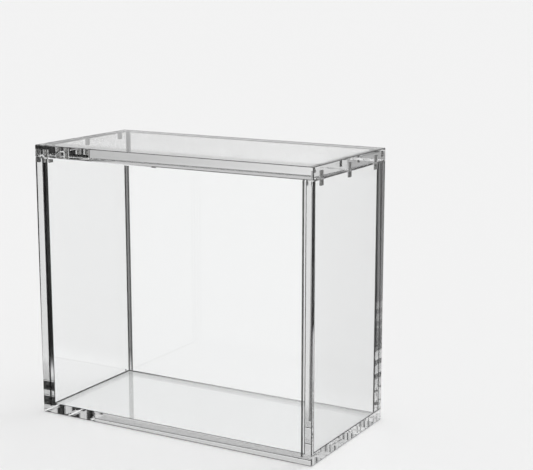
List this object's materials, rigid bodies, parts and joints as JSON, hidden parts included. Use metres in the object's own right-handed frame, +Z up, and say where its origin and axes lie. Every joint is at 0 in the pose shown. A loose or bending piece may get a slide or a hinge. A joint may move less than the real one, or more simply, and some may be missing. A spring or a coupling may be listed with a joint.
{
  "type": "acrylic display case",
  "caption": "Clear acrylic display case: a rectangular box of bonded sheets with a flat lift-off lid, held down by magnets sunk in the side walls and the lid.",
  "frame": {"origin": "middle of the case's underside, on the surface it stands on", "axes": "+X to the right along the front, +Y from the front to the back, +Z up"},
  "size_m": [0.203, 0.098, 0.18],
  "materials": {
    "clear_acrylic": "clear cast acrylic sheet with polished faces and edges",
    "magnet_plating": "bright nickel plating on disc magnets"
  },
  "bodies": {
    "case": {"base_panel": "clear_acrylic", "left_panel": "clear_acrylic", "right_panel": "clear_acrylic", "front_panel": "clear_acrylic", "back_panel": "clear_acrylic", "wall_magnet_left_front": "magnet_plating", "wall_magnet_left_middle": "magnet_plating", "wall_magnet_left_back": "magnet_plating", "wall_magnet_right_front": "magnet_plating", "wall_magnet_right_middle": "magnet_plating", "wall_magnet_right_back": "magnet_plating"},
    "lid": {"lid_panel": "clear_acrylic", "lid_magnet_left_front": "magnet_plating", "lid_magnet_left_middle": "magnet_plating", "lid_magnet_left_back": "magnet_plating", "lid_magnet_right_front": "magnet_plating", "lid_magnet_right_middle": "magnet_plating", "lid_magnet_right_back": "magnet_plating"}
  },
  "joints": [
    {"name": "lid_lift", "type": "slide", "parent": "case", "child": "lid", "axis": [0, 0, 1], "range_m": [0, 0.12]}
  ]
}
